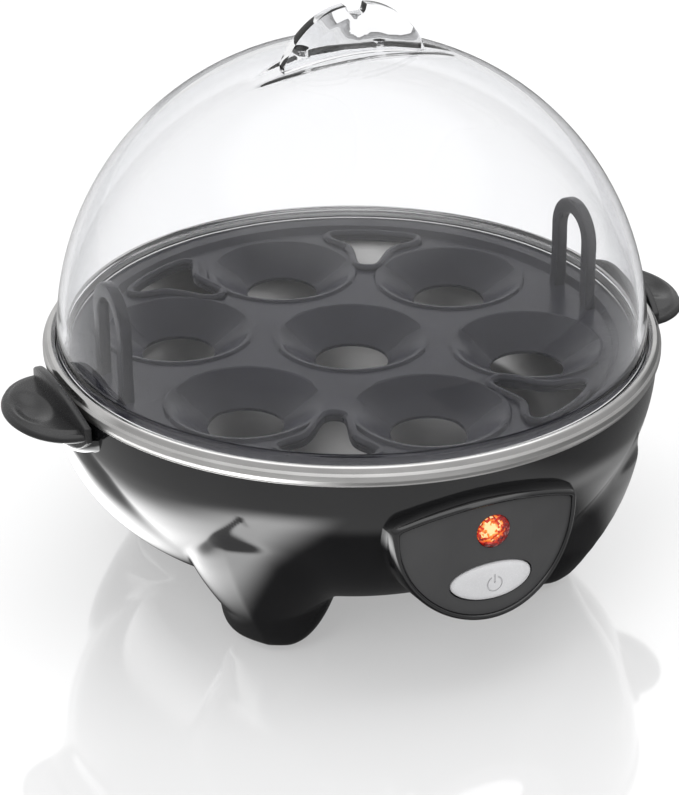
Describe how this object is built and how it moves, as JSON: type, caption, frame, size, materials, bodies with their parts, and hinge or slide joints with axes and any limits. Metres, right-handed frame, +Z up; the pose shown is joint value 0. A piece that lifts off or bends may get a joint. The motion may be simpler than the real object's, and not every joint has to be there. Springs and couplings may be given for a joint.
{
  "type": "egg cooker",
  "caption": "Round electric egg steamer: clear domed lid with a half-moon handle, cupped egg tray, steel water bowl and a black four-legged base with side tabs and a front panel.",
  "frame": {"origin": "on the axis of the dome, on the surface that the feet stand on", "axes": "+Z up, -Y is the front with the control panel, the side handles are at +X and -X"},
  "size_m": [0.189, 0.1656, 0.152],
  "materials": {
    "clear_lid": "clear polycarbonate",
    "clear_handle": "clear polycarbonate",
    "tray_black": "satin black",
    "rim_steel": "brushed rim, rolled bead",
    "shell_black": "high gloss black",
    "cover_black": "fine texture",
    "handle_black": "satin black",
    "panel_dark": "satin dark grey",
    "button_silver": "satin silver",
    "lens_red": "faceted red, lit",
    "lamp_glass": "neon capsule",
    "rubber_black": "matte",
    "seal_grey": "silicone",
    "screw_steel": "zinc plated",
    "sheet_steel": "mill finish",
    "spring_steel": "bright wire",
    "cast_alu": "as cast",
    "element_sheath": "heat dulled",
    "ceramic_white": "glazed ceramic",
    "brass_tab": "plain",
    "switch_plastic": "moulded",
    "holder_white": "nylon",
    "lead_white": "glass-braid sleeve",
    "lead_black": "insulation",
    "fuse_silver": "tinned case"
  },
  "bodies": {
    "base": {"heating_bowl": "rim_steel", "rim_seal": "seal_grey", "base_shell": "shell_black", "bottom_cover": "cover_black", "bottom_screws": "screw_steel", "side_handle_left": "handle_black", "side_handle_right": "handle_black", "handle_screws": "screw_steel", "panel_housing": "shell_black", "panel_face": "panel_dark", "panel_screws": "screw_steel", "button_spring": "spring_steel", "switch_body": "switch_plastic", "switch_terminals": "brass_tab", "indicator_lens": "lens_red", "lamp_holder": "holder_white", "indicator_lamp": "lamp_glass", "heater_plate": "cast_alu", "heating_element": "element_sheath", "element_insulators": "ceramic_white", "element_pins": "screw_steel", "thermostat": "fuse_silver", "thermostat_bracket": "sheet_steel", "thermal_fuse": "fuse_silver", "heat_shield": "sheet_steel", "plate_studs": "screw_steel", "stud_spacers": "sheet_steel", "stud_nuts": "screw_steel", "terminal_block": "ceramic_white", "terminal_screws": "brass_tab", "cord_gland": "rubber_black", "live_lead": "lead_black", "switched_lead": "lead_white", "fuse_lead": "lead_white", "element_lead": "lead_white", "neutral_lead": "lead_white", "lamp_leads": "lead_black", "foot_pad_rear_right": "rubber_black", "foot_pad_rear_left": "rubber_black", "foot_pad_front_left": "rubber_black", "foot_pad_front_right": "rubber_black"},
    "tray": {"egg_tray": "tray_black"},
    "lid": {"lid_dome": "clear_lid", "lid_handle": "clear_handle"},
    "button": {"power_button": "button_silver", "switch_plunger": "holder_white"}
  },
  "joints": [
    {"name": "tray_lift", "type": "slide", "parent": "base", "child": "tray", "axis": [0, 0, 1], "range_m": [0, 0.12]},
    {"name": "lid_lift", "type": "slide", "parent": "tray", "child": "lid", "axis": [0, 0, 1], "range_m": [0, 0.15]},
    {"name": "button_press", "type": "slide", "parent": "base", "child": "button", "axis": [0, 1, 0], "range_m": [0, 0.0016], "stiffness_N_per_m": 800, "springref_m": -0.0015, "deforming": ["button_spring"]}
  ]
}
